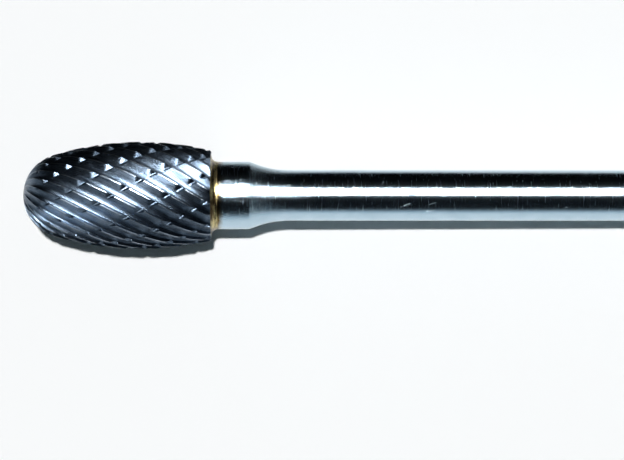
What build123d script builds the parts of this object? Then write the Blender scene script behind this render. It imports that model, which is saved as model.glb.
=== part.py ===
"""A double-cut carbide burr of the oval shape on a long 6 mm steel shank.

Three solids, one STEP file each: the fluted carbide head, the braze that joins it,
and the steel shank with its collar.  The tool is built along +X from its tip at the
origin, then laid on z = 0 the way it comes to rest: on the belly of the head and on
the far end of the shank.
"""
from build123d import *
import math
import os

# ---------------------------------------------------------------- driving sizes, mm
# Head: an oval of revolution.  Its side is one long arc, and its nose is the arc
# that is tangent to the side and centred on the axis.
head_diameter = 12.7
head_length = 22.2
widest_from_tip = 13.9
side_arc_radius = 35.0
back_edge_chamfer = 0.15

# Flutes: a right-hand helix for a right-hand cut.  The section is stated at the
# widest place and shrinks with the local radius, as the teeth crowd at the nose.
flute_count = 22
flute_helix_nose = 20.0         # degrees from the meridian, at the tip
flute_helix_back = 32.0         # degrees, at the back face
flute_phase = 6.0               # degrees from the top, an edge on the widest circle
land_width = 0.14
heel_slope = 40.0               # degrees, the hollow back of the tooth at its land
gullet_slope = 6.0              # degrees, the same hollow where it meets the gullet
gullet_radius = 0.22
rake_angle = 6.0                # degrees, the tooth's face off the radial line
flute_start_radii = (1.5, 3.0)  # every second flute runs out earlier on the nose
flute_run_in = 3.0              # along the surface, to the flute's full depth

# Chip breakers: shallow V grooves on a left-hand helix that nick every tooth.
breaker_count = 11
breaker_helix = 29.0            # degrees from the meridian
breaker_phase = 17.3            # degrees from the top, a groove on the widest circle
breaker_width = 1.05
breaker_depth = 0.42
breaker_start_radius = 3.4
breaker_run_in = 2.0

# Braze, collar and shank
braze_gap = 0.1
braze_fillet = 0.8
collar_diameter = 8.0
collar_length = 4.6             # from the back face of the head
neck_arc_radius = 11.0
shank_diameter = 6.0
shank_length = 150.0            # from the back face of the head to the end
end_chamfer = 0.5

# ---------------------------------------------------------------- derived sizes, mm
head_radius = head_diameter / 2
collar_radius = collar_diameter / 2
shank_radius = shank_diameter / 2
overall_length = head_length + shank_length
pitch = math.pi * head_diameter / flute_count

arc_drop = side_arc_radius - head_radius    # the side arc's centre, past the axis
nose_radius = (side_arc_radius**2 - arc_drop**2 - widest_from_tip**2) / (
    2 * (side_arc_radius - widest_from_tip)
)
nose_angle = math.atan2(arc_drop, widest_from_tip - nose_radius)
nose_run = nose_radius * nose_angle         # tip to the tangent point, on the surface
widest_run = nose_run + side_arc_radius * (math.pi / 2 - nose_angle)
back_run = widest_run + side_arc_radius * math.asin(
    (head_length - widest_from_tip) / side_arc_radius
)

outside = 0.06                              # cutters stand this far off the blank
overrun = 0.5                               # and run this far past its back face
STATIONS = 14                               # sections lofted into one cutter
STEPS = 60                                  # steps in which a helix is summed


# ---------------------------------------------------------------- the oval
def meridian(run):
    """Axial place, radius, and outward normal (axial, radial) of the blank at a
    distance along its surface from the tip."""
    if run < nose_run:
        a = run / nose_radius
        place = nose_radius * (1 - math.cos(a)), nose_radius * math.sin(a)
        return *place, -math.cos(a), math.sin(a)
    a = (run - widest_run) / side_arc_radius
    x = widest_from_tip + side_arc_radius * math.sin(a)
    return x, side_arc_radius * math.cos(a) - arc_drop, math.sin(a), math.cos(a)


def make_blank():
    """The oval before it is fluted."""
    rim = back_run - back_edge_chamfer
    runs = (0, nose_run / 2, nose_run, (nose_run + rim) / 2, rim)
    tip, nose, tangent, side, back = [Vector(*meridian(run)[:2]) for run in runs]
    outline = Wire(
        [
            Edge.make_three_point_arc(tip, nose, tangent),
            Edge.make_three_point_arc(tangent, side, back),
            Edge.make_line(back, (head_length, back.Y - back_edge_chamfer)),
            Edge.make_line((head_length, back.Y - back_edge_chamfer), (head_length, 0)),
            Edge.make_line((head_length, 0), tip),
        ]
    )
    blank = revolve(Face(outline), Axis.X)
    return blank


# ---------------------------------------------------------------- flute cutters
def helix_turn(run, slope_nose, slope_back):
    """Angle in radians that a helix has turned between the widest circle and run.
    Its slope in degrees changes evenly from the tip to the back face."""
    step = (run - widest_run) / STEPS
    angle = 0.0
    for i in range(STEPS):
        at = widest_run + (i + 0.5) * step
        slope = slope_nose + (slope_back - slope_nose) * at / back_run
        angle += math.tan(math.radians(slope)) / meridian(at)[1] * step
    return angle


def section(run, angle, corners, lift):
    """One closed cutter section, square to the blank's meridian.  corners are pairs
    (w, h): w along the surface around the head, h above it.  The section shrinks
    with the radius and is bent round the surface, and lift raises it."""
    x, r, axial, radial = meridian(run)
    size, bend = r / head_radius, r / radial
    around = Vector(0, -math.cos(angle), -math.sin(angle))
    out = Vector(axial, -radial * math.sin(angle), radial * math.cos(angle))
    origin = Vector(x, -r * math.sin(angle), r * math.cos(angle))

    def place(w, h):
        a, far = w * size / bend, bend + (h + lift) * size
        return origin + around * (far * math.sin(a)) + out * (far * math.cos(a) - bend)

    return Wire.make_polygon([place(w, h) for w, h in corners], close=True)


def make_cutter(corners, start_radius, run_in, slope_nose, slope_back, phase):
    """Loft a cutter along its helix.  It starts clear of the nose, where the nose
    has the start radius, and sinks to its full depth over the run-in."""
    first = nose_radius * math.asin(start_radius / nose_radius)
    last = back_run + overrun
    depth = -min(h for _, h in corners)
    sections = []
    for i in range(STATIONS):
        run = first + (last - first) * (i / (STATIONS - 1)) ** 1.5
        left = max(0.0, 1 - (run - first) / run_in)
        angle = math.radians(phase) + helix_turn(run, slope_nose, slope_back)
        sections.append(section(run, angle, corners, 1.1 * depth * left**2))
    return Solid.make_loft(sections)


def flute_corners():
    """One flute at the widest place: the hollow back of a tooth, the gullet, the
    face of the next tooth, and a lid clear of the surface.  w = 0 is its middle."""
    heel, low = math.radians(heel_slope), math.radians(gullet_slope)
    face = math.radians(90 - rake_angle)
    gullet_width = gullet_radius * (math.sin(low) + math.sin(face))
    gullet_rise = gullet_radius * (math.cos(low) - math.cos(face))
    # the hollow's radius follows from the width that the other parts leave to it
    hollow = (pitch - land_width - gullet_width + gullet_rise / math.tan(face)) / (
        math.sin(heel) - math.sin(low)
        + (math.cos(low) - math.cos(heel)) / math.tan(face)
    )

    def bowl(start, radius, from_slope, to_slope):
        w = start[0] + radius * (math.sin(from_slope) - math.sin(to_slope))
        h = start[1] + radius * (math.cos(from_slope) - math.cos(to_slope))
        return w, h

    land_edge = (land_width - pitch / 2, 0.0)
    rim = bowl(land_edge, hollow, heel, math.acos(math.cos(heel) - outside / hollow))
    middle = bowl(land_edge, hollow, heel, (heel + low) / 2)
    foot = bowl(land_edge, hollow, heel, low)
    gullet = bowl(foot, gullet_radius, low, -face)
    top = (pitch / 2 + outside / math.tan(face), outside)
    lid = ((rim[0] + top[0]) / 2, outside)
    return [rim, middle, foot, gullet, top, lid]


def breaker_corners():
    """One chip-breaker groove at the widest place: a V with a lid above it."""
    half = breaker_width / 2 * (1 + outside / breaker_depth)
    return [(-half, outside), (0, -breaker_depth), (half, outside), (0, outside)]


def make_head():
    """The oval, fluted one way and nicked the other."""
    corners = flute_corners()
    flutes = [
        make_cutter(corners, start, flute_run_in, flute_helix_nose, flute_helix_back,
                    flute_phase)
        for start in flute_start_radii
    ]
    breaker = make_cutter(breaker_corners(), breaker_start_radius, breaker_run_in,
                          -breaker_helix, -breaker_helix, breaker_phase)
    head = make_blank()
    head -= [
        flutes[i % len(flutes)].rotate(Axis.X, i * 360 / flute_count)
        for i in range(flute_count)
    ]
    head -= [
        breaker.rotate(Axis.X, i * 360 / breaker_count) for i in range(breaker_count)
    ]
    return head


# ---------------------------------------------------------------- braze and shank
def make_braze():
    """The film between the two faces, with a hollow fillet on to the collar."""
    back, front = head_length, head_length + braze_gap
    rim = collar_radius + braze_fillet
    hollow = braze_fillet * (1 - math.sqrt(0.5))
    outline = Wire(
        [
            Edge.make_line((back, 0), (back, rim)),
            Edge.make_three_point_arc(
                (back, rim),
                (back + hollow, collar_radius + hollow),
                (back + braze_fillet, collar_radius),
            ),
            Edge.make_line((back + braze_fillet, collar_radius), (front, collar_radius)),
            Edge.make_line((front, collar_radius), (front, 0)),
            Edge.make_line((front, 0), (back, 0)),
        ]
    )
    return revolve(Face(outline), Axis.X)


def make_shank():
    """Collar, hollow neck and plain cylindrical shank, turned from one bar."""
    front = head_length + braze_gap
    collar_end = head_length + collar_length
    drop = collar_radius - shank_radius
    neck = math.sqrt(2 * neck_arc_radius * drop - drop**2)
    half = math.asin(neck / neck_arc_radius) / 2
    neck_end = collar_end + neck
    outline = Wire(
        [
            Edge.make_line((front, 0), (front, collar_radius)),
            Edge.make_line((front, collar_radius), (collar_end, collar_radius)),
            Edge.make_three_point_arc(
                (collar_end, collar_radius),
                (
                    neck_end - neck_arc_radius * math.sin(half),
                    shank_radius + neck_arc_radius * (1 - math.cos(half)),
                ),
                (neck_end, shank_radius),
            ),
            Edge.make_line((neck_end, shank_radius), (overall_length, shank_radius)),
            Edge.make_line((overall_length, shank_radius), (overall_length, 0)),
            Edge.make_line((overall_length, 0), (front, 0)),
        ]
    )
    shank = revolve(Face(outline), Axis.X)
    end_edge = shank.edges().filter_by(GeomType.CIRCLE).sort_by(Axis.X)[-1]
    return chamfer(end_edge, end_chamfer)


# ---------------------------------------------------------------- at rest
# The belly arc and the rim of the shank's end touch z = 0, so the axis leans down
# towards the shank.  The origin is under the middle of the tool's length.
lean_near = arc_drop + shank_radius
lean_far = overall_length - end_chamfer - widest_from_tip
lean = math.atan2(lean_far, lean_near) - math.acos(
    side_arc_radius / math.hypot(lean_near, lean_far)
)
tip_height = (
    side_arc_radius
    - arc_drop * math.cos(lean)
    + widest_from_tip * math.sin(lean)
)
tip_end = nose_radius * (math.cos(lean) - 1)
shank_end = overall_length * math.cos(lean) + (
    shank_radius - end_chamfer
) * math.sin(lean)
at_rest = Pos(-(tip_end + shank_end) / 2, 0, tip_height) * Rot(0, math.degrees(lean), 0)

nodes = {
    "carbide_head": make_head(),
    "braze_joint": make_braze(),
    "steel_shank": make_shank(),
}
os.makedirs("parts", exist_ok=True)
for name, solid in nodes.items():
    piece = at_rest * solid
    piece.label = name
    export_step(piece, f"parts/{name}.step", write_pcurves=False)
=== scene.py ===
"""The looks of the carbide burr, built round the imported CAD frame.

The head, the braze and the shank each get a fine mesh in place of their CAD solid.
The head has the solid's oval, helices and tooth counts, but the section and the
run-in of its flutes and breakers are its own, and its surface lies up to 0.2 mm from
the solid's.  The shank differs by a line 0.05 mm deep round the collar's rear edge.
The braze has the solid's fillet, but its mesh is closed inside the collar, so that it
reaches 0.7 mm into the shank's.
Sizes here are millimetres in the tool's own frame, +X from the tip towards the
shank, and place() lays them in the row frame, metres.
"""
import math

import bpy
import numpy as np
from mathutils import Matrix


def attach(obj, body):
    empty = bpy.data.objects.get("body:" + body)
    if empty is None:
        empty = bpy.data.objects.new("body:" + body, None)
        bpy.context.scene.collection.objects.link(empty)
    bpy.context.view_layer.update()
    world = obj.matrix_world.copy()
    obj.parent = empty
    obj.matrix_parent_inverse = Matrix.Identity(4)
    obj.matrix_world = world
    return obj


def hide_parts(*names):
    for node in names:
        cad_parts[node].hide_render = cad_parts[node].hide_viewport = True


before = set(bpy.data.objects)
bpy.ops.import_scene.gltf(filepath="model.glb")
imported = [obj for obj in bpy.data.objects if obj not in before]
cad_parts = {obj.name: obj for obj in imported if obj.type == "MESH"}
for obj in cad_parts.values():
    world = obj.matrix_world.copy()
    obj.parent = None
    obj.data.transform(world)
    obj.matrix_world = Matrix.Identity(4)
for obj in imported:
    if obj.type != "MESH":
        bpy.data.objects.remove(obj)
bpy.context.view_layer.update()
rng = np.random.default_rng(7)

# ---------------------------------------------------------------- sizes
head_radius = 12.7 / 2
head_length = 22.2
widest_from_tip = 13.9
side_arc_radius = 35.0
back_edge_chamfer = 0.15

flute_count = 22
flute_helix = (20.0, 32.0)          # degrees, at the tip and at the back
flute_phase = 6.0                   # degrees from the top, the middle of a flute
land_width = 0.14
flute_depth = 0.5                   # for the run-in; flute_section sets the real depth
flute_start_radii = (0.8, 2.4)      # every second flute runs out earlier on the nose
flute_run_in = 2.2
flute_depth_spread = 0.05           # standard deviation of the depths, as a share
back_slope = 26.0                   # degrees, the back of a tooth
hollow_rise = 20.0                  # degrees, the far side of the hollow
hollow_reach = 0.8                  # the hollow's width
foot_radius = 0.16                  # between the hollow and the face
face_slope = 66.0                   # degrees, where that radius meets the face
face_lean = 0.04                    # the face's foot lies this far behind its edge

breaker_count = 11
breaker_helix = 29.0                # degrees, left-hand
breaker_phase = 17.3                # degrees from the top, the middle of a groove
breaker_width = 1.05
breaker_depth = 0.42
breaker_start_radius = 3.4
breaker_run_in = 2.0
breaker_skew = 0.26                 # a groove is deepest this far off its middle
breaker_bottom_radius = 0.3
breaker_sides = (breaker_width / 2 + breaker_skew, breaker_width / 2 - breaker_skew)
run_in_start = 1.1                  # depths above the full depth, for both kinds

tip_cap_run = 0.55                  # the plain cap at the very tip ends here
cap_rings = (0.6, 0.25)             # shares of it where the cap has its inner rings
back_ring = 4.5                     # radius of the ring of points on the back face

braze_gap = 0.1
braze_fillet = 0.8
collar_radius = 4.0
collar_length = 4.6
collar_edge = (0.08, 0.05)          # the line round its rear edge, along and down
neck_arc_radius = 11.0
shank_radius = 3.0
shank_length = 150.0
end_chamfer = 0.5

overall_length = head_length + shank_length
pitch = 2 * math.pi * head_radius / flute_count
arc_drop = side_arc_radius - head_radius
nose_radius = (side_arc_radius**2 - arc_drop**2 - widest_from_tip**2) / (
    2 * (side_arc_radius - widest_from_tip)
)
nose_angle = math.atan2(arc_drop, widest_from_tip - nose_radius)
nose_run = nose_radius * nose_angle
widest_run = nose_run + side_arc_radius * (math.pi / 2 - nose_angle)
back_run = widest_run + side_arc_radius * math.asin(
    (head_length - widest_from_tip) / side_arc_radius
)

lean_near = arc_drop + shank_radius
lean_far = overall_length - end_chamfer - widest_from_tip
lean = math.atan2(lean_far, lean_near) - math.acos(
    side_arc_radius / math.hypot(lean_near, lean_far)
)
tip_height = (
    side_arc_radius - arc_drop * math.cos(lean) + widest_from_tip * math.sin(lean)
)
tip_end = nose_radius * (math.cos(lean) - 1)
shank_end = overall_length * math.cos(lean) + (
    shank_radius - end_chamfer
) * math.sin(lean)
tip_x = -(tip_end + shank_end) / 2


def place(x, y, z):
    """Tool-frame millimetres to row-frame metres."""
    return np.stack(
        [
            tip_x + x * math.cos(lean) + z * math.sin(lean),
            y,
            tip_height - x * math.sin(lean) + z * math.cos(lean),
        ],
        axis=-1,
    ) * 0.001


# ---------------------------------------------------------------- mesh helpers
def new_object(name, points, faces):
    mesh = bpy.data.meshes.new(name)
    mesh.from_pydata(points.tolist(), [], faces)
    mesh.validate()
    obj = bpy.data.objects.new(name, mesh)
    bpy.context.scene.collection.objects.link(obj)
    return obj


def shade(obj, angle):
    mesh = obj.data
    mesh.polygons.foreach_set("use_smooth", np.ones(len(mesh.polygons), bool))
    mesh.set_sharp_from_angle(angle=math.radians(angle))


def corner_values(obj, name, values):
    """A float attribute with one value per face corner."""
    layer = obj.data.attributes.new(name, "FLOAT", "CORNER")
    layer.data.foreach_set("value", np.asarray(values, np.float32))


def set_flow(obj, vectors):
    """The tangent at each point for the shaders, given in the tool frame."""
    vectors = place(*vectors.T) * 1000 - np.array([tip_x, 0, tip_height])
    layer = obj.data.attributes.new("flow", "FLOAT_VECTOR", "POINT")
    layer.data.foreach_set("vector", vectors.astype(np.float32).reshape(-1))


# ---------------------------------------------------------------- head
def meridian(run):
    """Place, radius, and outward normal (axial, radial) along the oval's surface."""
    nose, side = run / nose_radius, (run - widest_run) / side_arc_radius
    on_nose = run < nose_run
    return (
        np.where(on_nose, nose_radius * (1 - np.cos(nose)),
                 widest_from_tip + side_arc_radius * np.sin(side)),
        np.where(on_nose, nose_radius * np.sin(nose),
                 side_arc_radius * np.cos(side) - arc_drop),
        np.where(on_nose, -np.cos(nose), np.sin(side)),
        np.where(on_nose, np.sin(nose), np.cos(side)),
    )


# places along the surface at which the helices are tabled, from beside the tip to
# past the back
runs = np.linspace(0.2, back_run + 0.8, 8000)


def turn_table(slopes):
    """Angle that a helix has turned at each of runs, zero on the widest circle."""
    slope = np.radians(slopes[0] + (slopes[1] - slopes[0]) * runs / back_run)
    rate = np.tan(slope) / meridian(runs)[1]
    total = np.append(0, np.cumsum((rate[1:] + rate[:-1]) / 2 * np.diff(runs)))
    return total - np.interp(widest_run, runs, total)


flute_turn = turn_table(flute_helix)
breaker_turn = turn_table((-breaker_helix, -breaker_helix))

LAND, BACK, GULLET, FACE, NOTCH = range(5)
BACK_SHARES = (0, 0.35, 0.7)        # where a tooth's straight back has its samples
HOLLOW_POINTS, FOOT_POINTS = 8, 5

# the streaks' place across a groove: flutes are set apart from each other and breakers
# from flutes, and the last three give a tooth's segments numbers unlike their neighbours'
FLUTE_SHIFT = 7.3
NOTCH_STRETCH, NOTCH_SHIFT = 3.6, 50.0
NOTCH_WEIGHT, FLUTE_WEIGHT, TOOTH_CYCLE = 31, 17, 97


def flute_section():
    """Points (w, h, kind) from one cutting edge to just before the next; kind is
    that of the surface which follows the point.  A tooth's back runs straight into
    a hollow, and a steep face rises from the hollow to the next edge."""
    heel, edge = land_width - pitch / 2, pitch / 2
    steep, rising, tall = (
        math.radians(a) for a in (back_slope, hollow_rise, face_slope)
    )
    foot = edge - face_lean - foot_radius * (math.sin(tall) - math.sin(rising))
    start = foot - hollow_reach
    drop = (start - heel) * math.tan(steep)
    hollow = hollow_reach / (math.sin(steep) + math.sin(rising))
    bowl = [(start + hollow * (math.sin(steep) - math.sin(a)),
             hollow * (math.cos(steep) - math.cos(a)) - drop)
            for a in np.linspace(steep, -rising, HOLLOW_POINTS)]
    rows = [(-edge, 0.0, LAND), (land_width / 2 - edge, 0.0, LAND)]
    rows += [(heel + (start - heel) * t, -drop * t, BACK) for t in BACK_SHARES]
    bowl += [(foot + foot_radius * (math.sin(a) - math.sin(rising)),
              bowl[-1][1] + foot_radius * (math.cos(rising) - math.cos(a)))
             for a in np.linspace(rising, tall, FOOT_POINTS)[1:]]
    rows += [(w, h, GULLET) for w, h in bowl]
    low = np.array(bowl[-1])
    rise = np.array([edge, 0.0]) - low
    rows.append((*(low + rise * 0.5), FACE))
    return rows


def groove_height(w):
    """Height of a chip breaker's V, with a radius in its bottom."""
    radius = breaker_bottom_radius
    slopes = [breaker_depth / side for side in breaker_sides]
    angles = [math.atan(slope) for slope in slopes]
    reach = radius * math.tan(sum(angles) / 2)
    left, right = -reach * math.cos(angles[0]), reach * math.cos(angles[1])
    middle = left + radius * math.sin(angles[0])
    top = (-slopes[0] * left) - breaker_depth + radius * math.cos(angles[0])
    flank = np.where(w < 0, -w * slopes[0], w * slopes[1]) - breaker_depth
    bowl = top - np.sqrt(np.maximum(radius**2 - (w - middle) ** 2, 0))
    return np.where((w > left) & (w < right), bowl, flank)


def corners_of_quads(grid):
    """The four corner values of every cell in a grid."""
    return np.stack([grid[:-1, :-1], grid[:-1, 1:], grid[1:, 1:], grid[1:, :-1]],
                    axis=-1).reshape(-1, 4)


def make_head():
    """The oval with its flutes and chip breakers.  The grid's lines follow both
    helices, so that every cutting edge and every groove's bottom has points on it."""
    section = flute_section()
    per_flute = len(section)
    w, h, kind = (np.array(v) for v in zip(*section))
    columns = flute_count * per_flute
    long_side, short_side = (
        breaker_count * side / (2 * math.pi * head_radius) for side in breaker_sides
    )
    # samples over one breaker pitch: beside the groove, its two flanks, beside it
    steps = np.concatenate([
        np.linspace(begin, end, count, endpoint=False)
        for begin, end, count in ((-0.5, -long_side, 4), (-long_side, 0, 9),
                                  (0, short_side, 4), (short_side, 0.5, 5))
    ])
    per_notch = len(steps)
    gain = flute_turn - breaker_turn
    flute_step, notch_step = 2 * math.pi / flute_count, 2 * math.pi / breaker_count

    # one column per sample across the flutes, with one more that repeats the first
    i = np.arange(columns + 1)
    across = w[i % per_flute] / pitch + i // per_flute
    base = h[i % per_flute]
    start = np.array(flute_start_radii)[(i // per_flute) % 2]
    flute_first = nose_radius * np.arcsin(start / nose_radius)

    offset = math.radians(breaker_phase - flute_phase) + breaker_skew / head_radius
    low = (gain[0] - offset) / notch_step
    high = (gain[-1] - offset + flute_step * flute_count) / notch_step
    j = np.arange(math.floor(low) * per_notch, math.ceil(high + 1) * per_notch)
    along = steps[j % per_notch] + j // per_notch

    wanted = offset + along[None, :] * notch_step - across[:, None] * flute_step
    run = np.interp(wanted, gain, runs)

    size_at_back = meridian(np.array(back_run))[1] / head_radius
    tilt = math.tan(math.asin((head_length - widest_from_tip) / side_arc_radius))
    last = back_run - base[:, None] * size_at_back * tilt
    under, over = run <= tip_cap_run, run >= last
    run = np.clip(run, tip_cap_run, last)

    x, r, axial, radial = meridian(run)
    turned = math.radians(flute_phase) + np.interp(run, runs, flute_turn)
    theta = turned + across[:, None] * flute_step
    notch_v = (theta - math.radians(breaker_phase) - breaker_skew / head_radius
               - np.interp(run, runs, breaker_turn)) / notch_step
    notch_v -= np.round(notch_v)

    def lift(first, run_in, depth):
        return run_in_start * depth * np.maximum(0, 1 - (run - first) / run_in) ** 2

    depths = 1 + flute_depth_spread * rng.standard_normal(flute_count)
    flute = base[:, None] * depths[(i // per_flute) % flute_count][:, None]
    flute = flute + lift(flute_first[:, None], flute_run_in, flute_depth)
    breaker_first = nose_radius * math.asin(breaker_start_radius / nose_radius)
    notch = groove_height(notch_v * notch_step * head_radius)
    notch = notch + lift(breaker_first, breaker_run_in, breaker_depth)
    height = np.minimum(np.minimum(flute, notch), 0) * r / head_radius
    in_notch = notch < np.minimum(flute, 0) + 1e-6

    px = x + axial * height
    pr = r + radial * height
    back_radius = meridian(np.array(back_run))[1] - back_edge_chamfer
    pr = np.minimum(pr, np.maximum(back_radius + head_length - px, back_radius))
    px = np.where(over, head_length, px)

    # number the points: tip ring, back ring, then the inner ones
    ids = np.full(run.shape, -1)
    inner = ~(under | over)
    inner[-1] = False
    ids[inner] = 2 * columns + np.arange(inner.sum())
    ids[under] = np.broadcast_to((i % columns)[:, None], ids.shape)[under]
    ids[over] = np.broadcast_to((i % columns + columns)[:, None], ids.shape)[over]
    wrap = breaker_count * per_notch
    last_inner = (ids[-1] < 0).nonzero()[0]
    ids[-1, last_inner] = ids[0, last_inner - wrap]

    count = 2 * columns + inner.sum()
    points = np.zeros((count, 3))
    spot = np.stack([px, -pr * np.sin(theta), pr * np.cos(theta)], axis=-1)
    for chosen in (under, over, inner):
        points[ids[chosen]] = spot[chosen]

    # quads between neighbours, kept where at least three corners differ
    quads = corners_of_quads(ids)
    n_rows = len(j) - 1
    flute_kind = np.repeat(kind[i[:-1] % per_flute], n_rows)
    notch_face = (
        in_notch[:-1, :-1] & in_notch[:-1, 1:] & in_notch[1:, 1:] & in_notch[1:, :-1]
    ).reshape(-1)
    section_run = np.concatenate([[0], np.cumsum(np.hypot(np.diff(w), np.diff(h)))])
    u_flute = (section_run[i % per_flute] + (i // per_flute) * FLUTE_SHIFT)[:, None]
    u_notch = notch_v * NOTCH_STRETCH + NOTCH_SHIFT
    quad_u, quad_s, faces, tooth, kinds = [], [], [], [], []
    runs4 = corners_of_quads(run)
    u4 = corners_of_quads(np.broadcast_to(u_flute, run.shape))
    n4 = corners_of_quads(u_notch)
    segment = (np.round(along)[None, :-1] * NOTCH_WEIGHT
               + (i[:-1, None] // per_flute) * FLUTE_WEIGHT)
    segment = np.broadcast_to(segment, (columns, n_rows)).reshape(-1)
    for q in range(len(quads)):
        ring = []
        for c in range(4):
            if quads[q, c] not in [quads[q, p] for p in ring]:
                ring.append(c)
        if len(ring) < 3 or quads[q].min() < 0:
            continue
        faces.append([int(quads[q, c]) for c in ring])
        source = n4 if notch_face[q] else u4
        quad_u.extend(source[q, c] for c in ring)
        quad_s.extend(runs4[q, c] for c in ring)
        kinds.extend([NOTCH if notch_face[q] else flute_kind[q]] * len(ring))
        tooth.extend([segment[q] % TOOTH_CYCLE / TOOTH_CYCLE] * len(ring))

    # the cap at the tip, and the flat back
    extra, rings = [], [np.arange(columns)]
    tip_angles = theta[np.arange(columns), 0]
    for part in cap_rings:
        x0, r0, _, _ = meridian(np.array(tip_cap_run * part))
        rings.append(count + len(extra) + np.arange(columns))
        extra.extend(np.stack([np.full(columns, x0), -r0 * np.sin(tip_angles),
                               r0 * np.cos(tip_angles)], axis=-1))
    pole = count + len(extra)
    extra.append(np.zeros(3))
    for outer, innermost in zip(rings[:-1], rings[1:]):
        for c in range(columns):
            d = (c + 1) % columns
            faces.append([int(v) for v in (innermost[c], outer[c], outer[d],
                                           innermost[d])])
    faces += [[pole, int(rings[-1][c]), int(rings[-1][(c + 1) % columns])]
              for c in range(columns)]
    back_angles = np.arctan2(-points[columns:2 * columns, 1],
                             points[columns:2 * columns, 2])
    ring = count + len(extra) + np.arange(columns)
    extra.extend(np.stack([np.full(columns, head_length),
                           -back_ring * np.sin(back_angles),
                           back_ring * np.cos(back_angles)], axis=-1))
    hub = count + len(extra)
    extra.append(np.array([head_length, 0, 0]))
    for c in range(columns):
        d = (c + 1) % columns
        faces.append([columns + c, int(ring[c]), int(ring[d]), columns + d])
        faces.append([int(ring[c]), hub, int(ring[d])])
    plain = sum(len(f) for f in faces) - len(quad_u)
    quad_u.extend([0.0] * plain)
    quad_s.extend([0.0] * plain)
    kinds.extend([LAND] * plain)
    tooth.extend([0.5] * plain)

    points = np.concatenate([points, np.array(extra)])
    faces = [f[::-1] for f in faces]
    obj = new_object("burr_head", place(*points.T), faces)
    flip = [0]
    for f in faces:
        flip.append(flip[-1] + len(f))
    order = np.concatenate([np.arange(b - 1, a - 1, -1)
                            for a, b in zip(flip[:-1], flip[1:])])
    for name, values in (("across", quad_u), ("run", quad_s), ("kind", kinds),
                         ("tooth", tooth)):
        corner_values(obj, name, np.array(values, float)[order])
    flow = np.zeros((len(points), 3))
    angle_rate = np.gradient(flute_turn, runs)
    swing = np.interp(run, runs, angle_rate) * r
    # along the groove: one step on the meridian, and swing around the axis
    fx, fr = radial, -axial
    flow3 = np.stack([fx, -fr * np.sin(theta) - swing * np.cos(theta),
                      fr * np.cos(theta) - swing * np.sin(theta)], axis=-1)
    for chosen in (under, over, inner):
        flow[ids[chosen]] = flow3[chosen]
    flow[len(flow) - len(extra):] = (0, 0, 1)
    set_flow(obj, flow)
    shade(obj, angle=26)
    return obj


# ---------------------------------------------------------------- turned pieces
def lathe(name, outline, columns, sharp):
    """A closed solid of revolution: outline is (x, r) from its front to its end."""
    outline = np.array(outline)
    theta = np.arange(columns) / columns * 2 * math.pi
    x = np.broadcast_to(outline[:, :1], (len(outline), columns))
    r = outline[:, 1:] + np.zeros(columns)
    points = np.stack([x, -r * np.sin(theta), r * np.cos(theta)], -1).reshape(-1, 3)
    ends = [[outline[0, 0], 0, 0], [outline[-1, 0], 0, 0]]
    first, last = len(points), len(points) + 1
    points = np.concatenate([points, ends])
    faces = []
    for c in range(columns):
        d = (c + 1) % columns
        faces.append([first, d, c])
        top = (len(outline) - 1) * columns
        faces.append([last, top + c, top + d])
        for a in range(len(outline) - 1):
            faces.append([a * columns + c, a * columns + d,
                          (a + 1) * columns + d, (a + 1) * columns + c])
    obj = new_object(name, place(*points.T), faces)
    slope = np.gradient(outline, axis=0)
    slope /= np.hypot(*slope.T)[:, None]
    dx, dr = slope[:, :1], slope[:, 1:]
    along = np.stack([dx + 0 * theta, -dr * np.sin(theta), dr * np.cos(theta)], -1)
    set_flow(obj, np.concatenate([along.reshape(-1, 3), [[0, 0, 1], [0, 0, 1]]]))
    shade(obj, sharp)
    return obj


def arc_points(centre, radius, start, end, count):
    return [(centre[0] + radius * math.cos(a), centre[1] + radius * math.sin(a))
            for a in np.linspace(start, end, count)]


def make_braze():
    """The fillet round the collar, closed by a flat end inside it."""
    front = head_length
    rim = collar_radius + braze_fillet
    centre = (front + braze_fillet, rim)
    outline = [(front, rim)] + arc_points(centre, braze_fillet, math.pi,
                                          1.5 * math.pi, 14)[1:]
    outline += [(front + braze_fillet, collar_radius - 0.05)]   # just under the collar
    return lathe("burr_braze", outline, columns=160, sharp=40)


def make_shank():
    """Collar, hollow neck and plain shank."""
    collar_end = head_length + collar_length
    drop = collar_radius - shank_radius
    neck = math.sqrt(2 * neck_arc_radius * drop - drop**2)
    neck_end = collar_end + neck
    angle = math.asin(neck / neck_arc_radius)
    outline = [(head_length + braze_gap, collar_radius)]
    outline += [(x, collar_radius) for x in
                np.linspace(head_length + 0.5, collar_end - collar_edge[0], 12)]
    outline += [(collar_end, collar_radius - collar_edge[1])]
    outline += [(neck_end - neck_arc_radius * math.sin(a),
                 shank_radius + neck_arc_radius * (1 - math.cos(a)))
                for a in np.linspace(angle * 0.985, 0, 40)]     # from below the edge
    plain = np.linspace(neck_end, overall_length - end_chamfer, 120)[1:]
    outline += [(x, shank_radius) for x in plain]
    outline += [(overall_length, shank_radius - end_chamfer)]
    return lathe("burr_shank", outline, columns=192, sharp=30)


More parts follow.
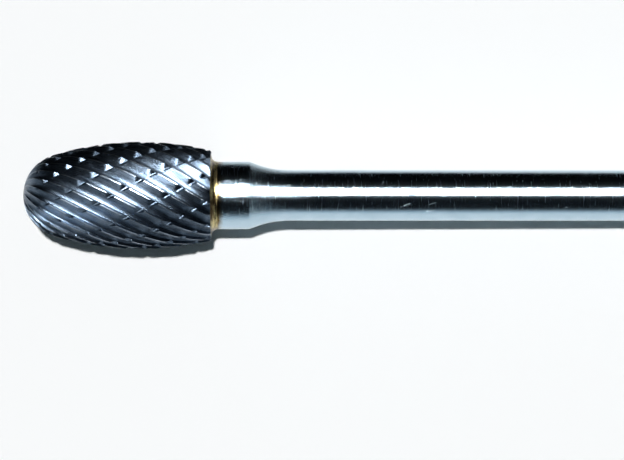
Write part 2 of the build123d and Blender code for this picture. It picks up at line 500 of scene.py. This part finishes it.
# ---------------------------------------------------------------- materials
class Nodes:
    """Short calls for building the nodes of one tree."""

    def __init__(self, tree):
        self.tree = tree

    def add(self, kind, inputs=(), **settings):
        node = self.tree.nodes.new("ShaderNode" + kind)
        for key, value in settings.items():
            setattr(node, key, value)
        for key, value in dict(inputs).items():
            if isinstance(value, bpy.types.NodeSocket):
                self.tree.links.new(value, node.inputs[key])
            else:
                node.inputs[key].default_value = value
        return node

    def math(self, operation, a, b=0.0):
        return self.add("Math", {0: a, 1: b}, operation=operation).outputs[0]

    def attribute(self, name):
        return self.add("Attribute", attribute_name=name).outputs["Fac"]

    def vector(self, x, y, z):
        return self.add("CombineXYZ", {0: x, 1: y, 2: z}).outputs[0]

    def noise(self, vector, scale, detail=2.0, rough=0.5):
        return self.add("TexNoise", {"Vector": vector, "Scale": scale,
                                     "Detail": detail, "Roughness": rough}
                        ).outputs["Fac"]

    def ramp(self, value, low, high, to_low=0.0, to_high=1.0, **settings):
        return self.add("MapRange", {"Value": value, "From Min": low,
                                     "From Max": high, "To Min": to_low,
                                     "To Max": to_high}, **settings).outputs[0]

    def mix(self, fac, a, b):
        node = self.add("Mix", {"Factor": fac}, data_type="RGBA")
        for key, value in ((6, a), (7, b)):
            if isinstance(value, bpy.types.NodeSocket):
                self.tree.links.new(value, node.inputs[key])
            else:
                node.inputs[key].default_value = (*value, 1.0)
        return node.outputs[2]

    def bump(self, height, strength, distance, normal=None):
        """A bump whose distance is in metres, on top of another one's normal."""
        inputs = {"Height": height, "Strength": strength, "Distance": distance}
        if normal is not None:
            inputs["Normal"] = normal
        return self.add("Bump", inputs).outputs[0]

    def tool_space(self):
        """Object coordinates turned into the tool's own millimetres."""
        point = self.add("TexCoord").outputs["Object"]
        return self.add("Mapping", {
            "Vector": point,
            "Location": (tip_x * 0.001, 0.0, tip_height * 0.001),
            "Rotation": (0.0, lean, 0.0),
            "Scale": (0.001, 0.001, 0.001),
        }, vector_type="TEXTURE").outputs[0]


class MaterialNodes(Nodes):
    """The same for a new material, round its Principled shader."""

    def __init__(self, name):
        self.material = bpy.data.materials.new(name)
        self.material.use_nodes = True
        super().__init__(self.material.node_tree)
        self.bsdf = self.tree.nodes["Principled BSDF"]

    def link(self, value, socket):
        self.tree.links.new(value, self.bsdf.inputs[socket])

    def brush(self, anisotropy):
        """Metal, with its anisotropy measured from the mesh's flow."""
        self.bsdf.inputs["Metallic"].default_value = 1.0
        self.bsdf.inputs["Anisotropic"].default_value = anisotropy
        self.link(self.add("Attribute", attribute_name="flow").outputs["Vector"],
                  "Tangent")


def carbide_material():
    n = MaterialNodes("ground_carbide")
    across, run = n.attribute("across"), n.attribute("run")
    tooth = n.attribute("tooth")
    streak_at = n.vector(n.math("MULTIPLY", run, 0.35),
                         n.math("MULTIPLY", across, 22.0),
                         n.math("MULTIPLY", tooth, 60.0))
    streaks = n.noise(streak_at, 1.0, 4.0, 0.6)
    place_mm = n.tool_space()
    patches = n.noise(place_mm, 0.7, 3.0)
    grain = n.noise(place_mm, 8.0, 3.0, 0.65)
    shade_by = n.math("ADD", n.math("MULTIPLY", streaks, 0.5),
                      n.math("MULTIPLY", patches, 0.5))
    colour = n.mix(n.ramp(shade_by, 0.35, 0.65),
                   (0.05, 0.075, 0.11), (0.14, 0.185, 0.24))
    # the narrow lands behind the cutting edges are painted lighter, a painted highlight
    # along the edges, and so are the cap at the tip and the flat back, which are of the
    # same kind
    edge = n.math("LESS_THAN", n.attribute("kind"), LAND + 0.5)
    colour = n.mix(n.math("MULTIPLY", edge, 0.8), colour, (0.34, 0.40, 0.47))
    n.link(colour, "Base Color")
    n.brush(0.85)
    n.bsdf.inputs["Anisotropic Rotation"].default_value = 0.25
    n.link(n.ramp(n.math("ADD", streaks, n.math("MULTIPLY", grain, 0.4)),
                  0.4, 1.0, 0.21, 0.39), "Roughness")
    fine = n.bump(grain, 0.8, 0.00003)
    n.link(n.bump(streaks, 0.35, 0.00003, fine), "Normal")
    return n.material


def braze_material():
    n = MaterialNodes("braze_alloy")
    at = n.tool_space()
    xyz = n.add("SeparateXYZ", {0: at})
    ripples = n.noise(n.vector(n.math("MULTIPLY", xyz.outputs[0], 3.2),
                               n.math("MULTIPLY", xyz.outputs[1], 0.45),
                               n.math("MULTIPLY", xyz.outputs[2], 0.45)),
                      1.0, 4.0, 0.6)
    pores = n.noise(at, 9.0, 3.0)
    gold = n.mix(n.ramp(ripples, 0.42, 0.58), (0.075, 0.05, 0.022), (0.52, 0.44, 0.22))
    n.link(gold, "Base Color")
    n.bsdf.inputs["Metallic"].default_value = 1.0
    n.link(n.ramp(pores, 0.3, 0.7, 0.2, 0.38), "Roughness")
    n.link(n.bump(n.math("ADD", ripples, n.math("MULTIPLY", pores, 0.3)), 0.6, 0.00015),
           "Normal")
    return n.material


# where the finish of the shank changes, mm behind the head: the end of the heat tint
# from the brazing, the neck's start and end, and the end of the turned stretch
TINT_END = (1.5, 2.1)
NECK_START, NECK_END = (4.5, 4.6), (7.0, 9.5)
TURNED_END = (9.0, 15.0)

# dents in the shank: x from the tip and y, mm, half lengths along and across, mm, and
# how far they are turned, degrees
DENT_HEIGHT = 0.3                   # the half length off the surface, for all of them
DENTS = (
    (45.3, -1.13, 0.45, 0.06, 20.0), (44.6, -1.40, 0.07, 0.07, 0.0),
    (48.3, -1.01, 0.50, 0.05, 18.0), (48.0, -1.85, 0.55, 0.04, 0.0),
    (42.4, 1.37, 0.35, 0.05, 60.0), (64.1, -1.48, 0.12, 0.12, 0.0),
    (57.3, 0.2, 0.06, 0.06, 0.0), (36.0, 1.1, 0.12, 0.05, 30.0),
)


def behind_head(span):
    return [head_length + at for at in span]


def steel_material():
    n = MaterialNodes("ground_steel")
    at = n.tool_space()
    xyz = n.add("SeparateXYZ", {0: at})
    axial = xyz.outputs[0]
    rings = n.noise(n.vector(n.math("MULTIPLY", axial, 14.0),
                             n.math("MULTIPLY", xyz.outputs[1], 0.5),
                             n.math("MULTIPLY", xyz.outputs[2], 0.5)), 1.0, 4.0, 0.6)
    grain = n.noise(at, 5.5, 2.0, 0.6)
    specks = n.ramp(n.noise(at, 5.6, 1.0), 0.6, 0.7)
    clouds = n.noise(at, 0.5, 3.0)
    # heat tint from the brazing, and the neck, which is turned and not ground
    tint = n.ramp(n.math("ADD", axial, n.math("MULTIPLY", clouds, 1.2)),
                  *behind_head(TINT_END), 1.0, 0.0)
    neck = n.math("MULTIPLY", n.ramp(axial, *behind_head(NECK_START)),
                  n.ramp(axial, *behind_head(NECK_END), 1.0, 0.0))
    turned = n.ramp(n.math("ADD", axial, n.math("MULTIPLY", grain, 2.0)),
                    *behind_head(TURNED_END), 0.4, 0.1)
    steel = n.mix(n.ramp(clouds, 0.3, 0.7), (0.42, 0.56, 0.65), (0.50, 0.64, 0.73))
    n.link(n.mix(tint, steel, (0.16, 0.105, 0.035)), "Base Color")
    n.brush(0.9)
    n.link(n.ramp(rings, 0.3, 0.7, 0.2, 0.28), "Roughness")
    pits = n.math("MULTIPLY", specks, n.ramp(turned, 0.1, 0.4, 0.0, 0.4))
    for x, y, along, across, turn in DENTS:
        z = math.sqrt(shank_radius**2 - y * y)
        local = n.add("Mapping", {
            "Vector": at, "Location": (x, y, z),
            "Rotation": (0.0, 0.0, math.radians(turn)),
            "Scale": (along, across, DENT_HEIGHT),
        }, vector_type="TEXTURE").outputs[0]
        far = n.add("VectorMath", {0: local}, operation="LENGTH").outputs["Value"]
        pits = n.math("MAXIMUM", pits, n.ramp(far, 0.5, 1.0, 2.5, 0.0))
    rough = n.bump(n.math("MULTIPLY", grain, turned), 1.0, 0.00006)
    rough = n.bump(n.math("MULTIPLY", pits, -1.0), 1.0, 0.000018, rough)
    rough = n.bump(n.math("MULTIPLY", rings, neck), 1.0, 0.00004, rough)
    fine = n.noise(at, 13.0, 2.0, 0.6)
    rough = n.bump(fine, 1.0, 0.000014, rough)
    n.link(n.bump(rings, 0.3, 0.00001, rough), "Normal")
    return n.material


def matte_material(name, colour):
    n = MaterialNodes(name)
    n.bsdf.inputs["Base Color"].default_value = (*colour, 1.0)
    n.bsdf.inputs["Roughness"].default_value = 1.0
    n.bsdf.inputs["Specular IOR Level"].default_value = 0.0
    return n.material


# ---------------------------------------------------------------- build
head = make_head()
braze = make_braze()
shank = make_shank()
dressed = (
    (head, "carbide_head", "carbide", carbide_material()),
    (braze, "braze_joint", "braze", braze_material()),
    (shank, "steel_shank", "steel", steel_material()),
)
for piece, node, slot, material in dressed:
    piece.data.materials.append(material)
    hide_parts(node)
    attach(piece, "root")

# ---------------------------------------------------------------- floor and light
bpy.ops.mesh.primitive_plane_add(size=6.0, location=(0, 0, 0))
floor = bpy.context.object
floor.name = "floor"
floor.data.materials.append(matte_material("floor_paper", (0.96, 0.965, 0.97)))

# a black card stands beside the tool on its +Y side, and only reflections show it
CARD_REACH, CARD_Y, CARD_TOP = 0.3, 0.0108, 0.05
card_mesh = bpy.data.meshes.new("dark_card")
card_mesh.from_pydata([(-CARD_REACH, CARD_Y, 0.0), (CARD_REACH, CARD_Y, 0.0),
                       (CARD_REACH, CARD_Y, CARD_TOP), (-CARD_REACH, CARD_Y, CARD_TOP)],
                      [], [(0, 1, 2, 3)])
card = bpy.data.objects.new("dark_card", card_mesh)
bpy.context.scene.collection.objects.link(card)
card_mesh.materials.append(matte_material("black_felt", (0.004, 0.004, 0.005)))
card.visible_camera = False
card.visible_diffuse = False
card.visible_shadow = False

world = bpy.data.worlds.new("studio")
bpy.context.scene.world = world
world.use_nodes = True

# reflections see a sky that is bright at and below the horizon and nearly black above
SKY_LEAN, SKY_TOP = 0.12, 0.2
SKY_HIGH, SKY_LOW = (0.004, 0.005, 0.007), (0.66, 0.78, 0.86)
AMBIENT = (0.038, 0.050, 0.051)     # what lights the floor besides the key
BACKDROP = (0.96, 0.97, 0.98)       # what the camera sees past the floor
n = Nodes(world.node_tree)
up = n.add("SeparateXYZ", {0: n.add("TexCoord").outputs["Generated"]})
height = n.math("ADD", up.outputs[2], n.math("MULTIPLY", up.outputs[1], SKY_LEAN))
horizon = n.ramp(height, 0.0, SKY_TOP, 1.0, 0.0, interpolation_type="SMOOTHSTEP")
path = n.add("LightPath")
mirror = n.math("MAXIMUM", path.outputs["Is Glossy Ray"],
                path.outputs["Is Transmission Ray"])
lit = n.mix(mirror, AMBIENT, n.mix(horizon, SKY_HIGH, SKY_LOW))
background = n.tree.nodes["Background"]
n.tree.links.new(n.mix(path.outputs["Is Camera Ray"], lit, BACKDROP),
                 background.inputs["Color"])
background.inputs["Strength"].default_value = 1.0


def add_sun(name, energy, width, tilt):
    """A sun with its width and its tilt about X in degrees."""
    lamp = bpy.data.lights.new(name, "SUN")
    lamp.energy = energy
    lamp.angle = math.radians(width)
    sun = bpy.data.objects.new(name, lamp)
    sun.rotation_euler = (math.radians(tilt), 0, 0)
    bpy.context.scene.collection.objects.link(sun)
    return sun


# one lamp lights the floor and casts the shadow, and the other only glints on metal
key = add_sun("key", energy=3.0, width=2.4, tilt=-10.0)
key.visible_glossy = False
sheen = add_sun("sheen", energy=10.0, width=3.2, tilt=-16.5)
sheen.visible_diffuse = False

# ---------------------------------------------------------------- camera
PHOTO_WIDTH = 624
PIXELS_PER_METRE = 8400.0
CAMERA_HEIGHT = 0.23
AXIS_HEIGHT = 0.0055                # where that scale holds, near the tool's axis
VIEW_CENTRE = (-0.05195, -0.0041)
camera = bpy.data.cameras.new("camera")
camera.sensor_width = 36.0
camera.lens = camera.sensor_width * (CAMERA_HEIGHT - AXIS_HEIGHT) / (
    PHOTO_WIDTH / PIXELS_PER_METRE)
eye = bpy.data.objects.new("camera", camera)
eye.location = (*VIEW_CENTRE, CAMERA_HEIGHT)
eye.rotation_euler = (0, 0, 0)
bpy.context.scene.collection.objects.link(eye)
bpy.context.scene.camera = eye
camera.clip_start, camera.clip_end = 0.01, 10.0

scene = bpy.context.scene
scene.view_settings.view_transform = "Standard"
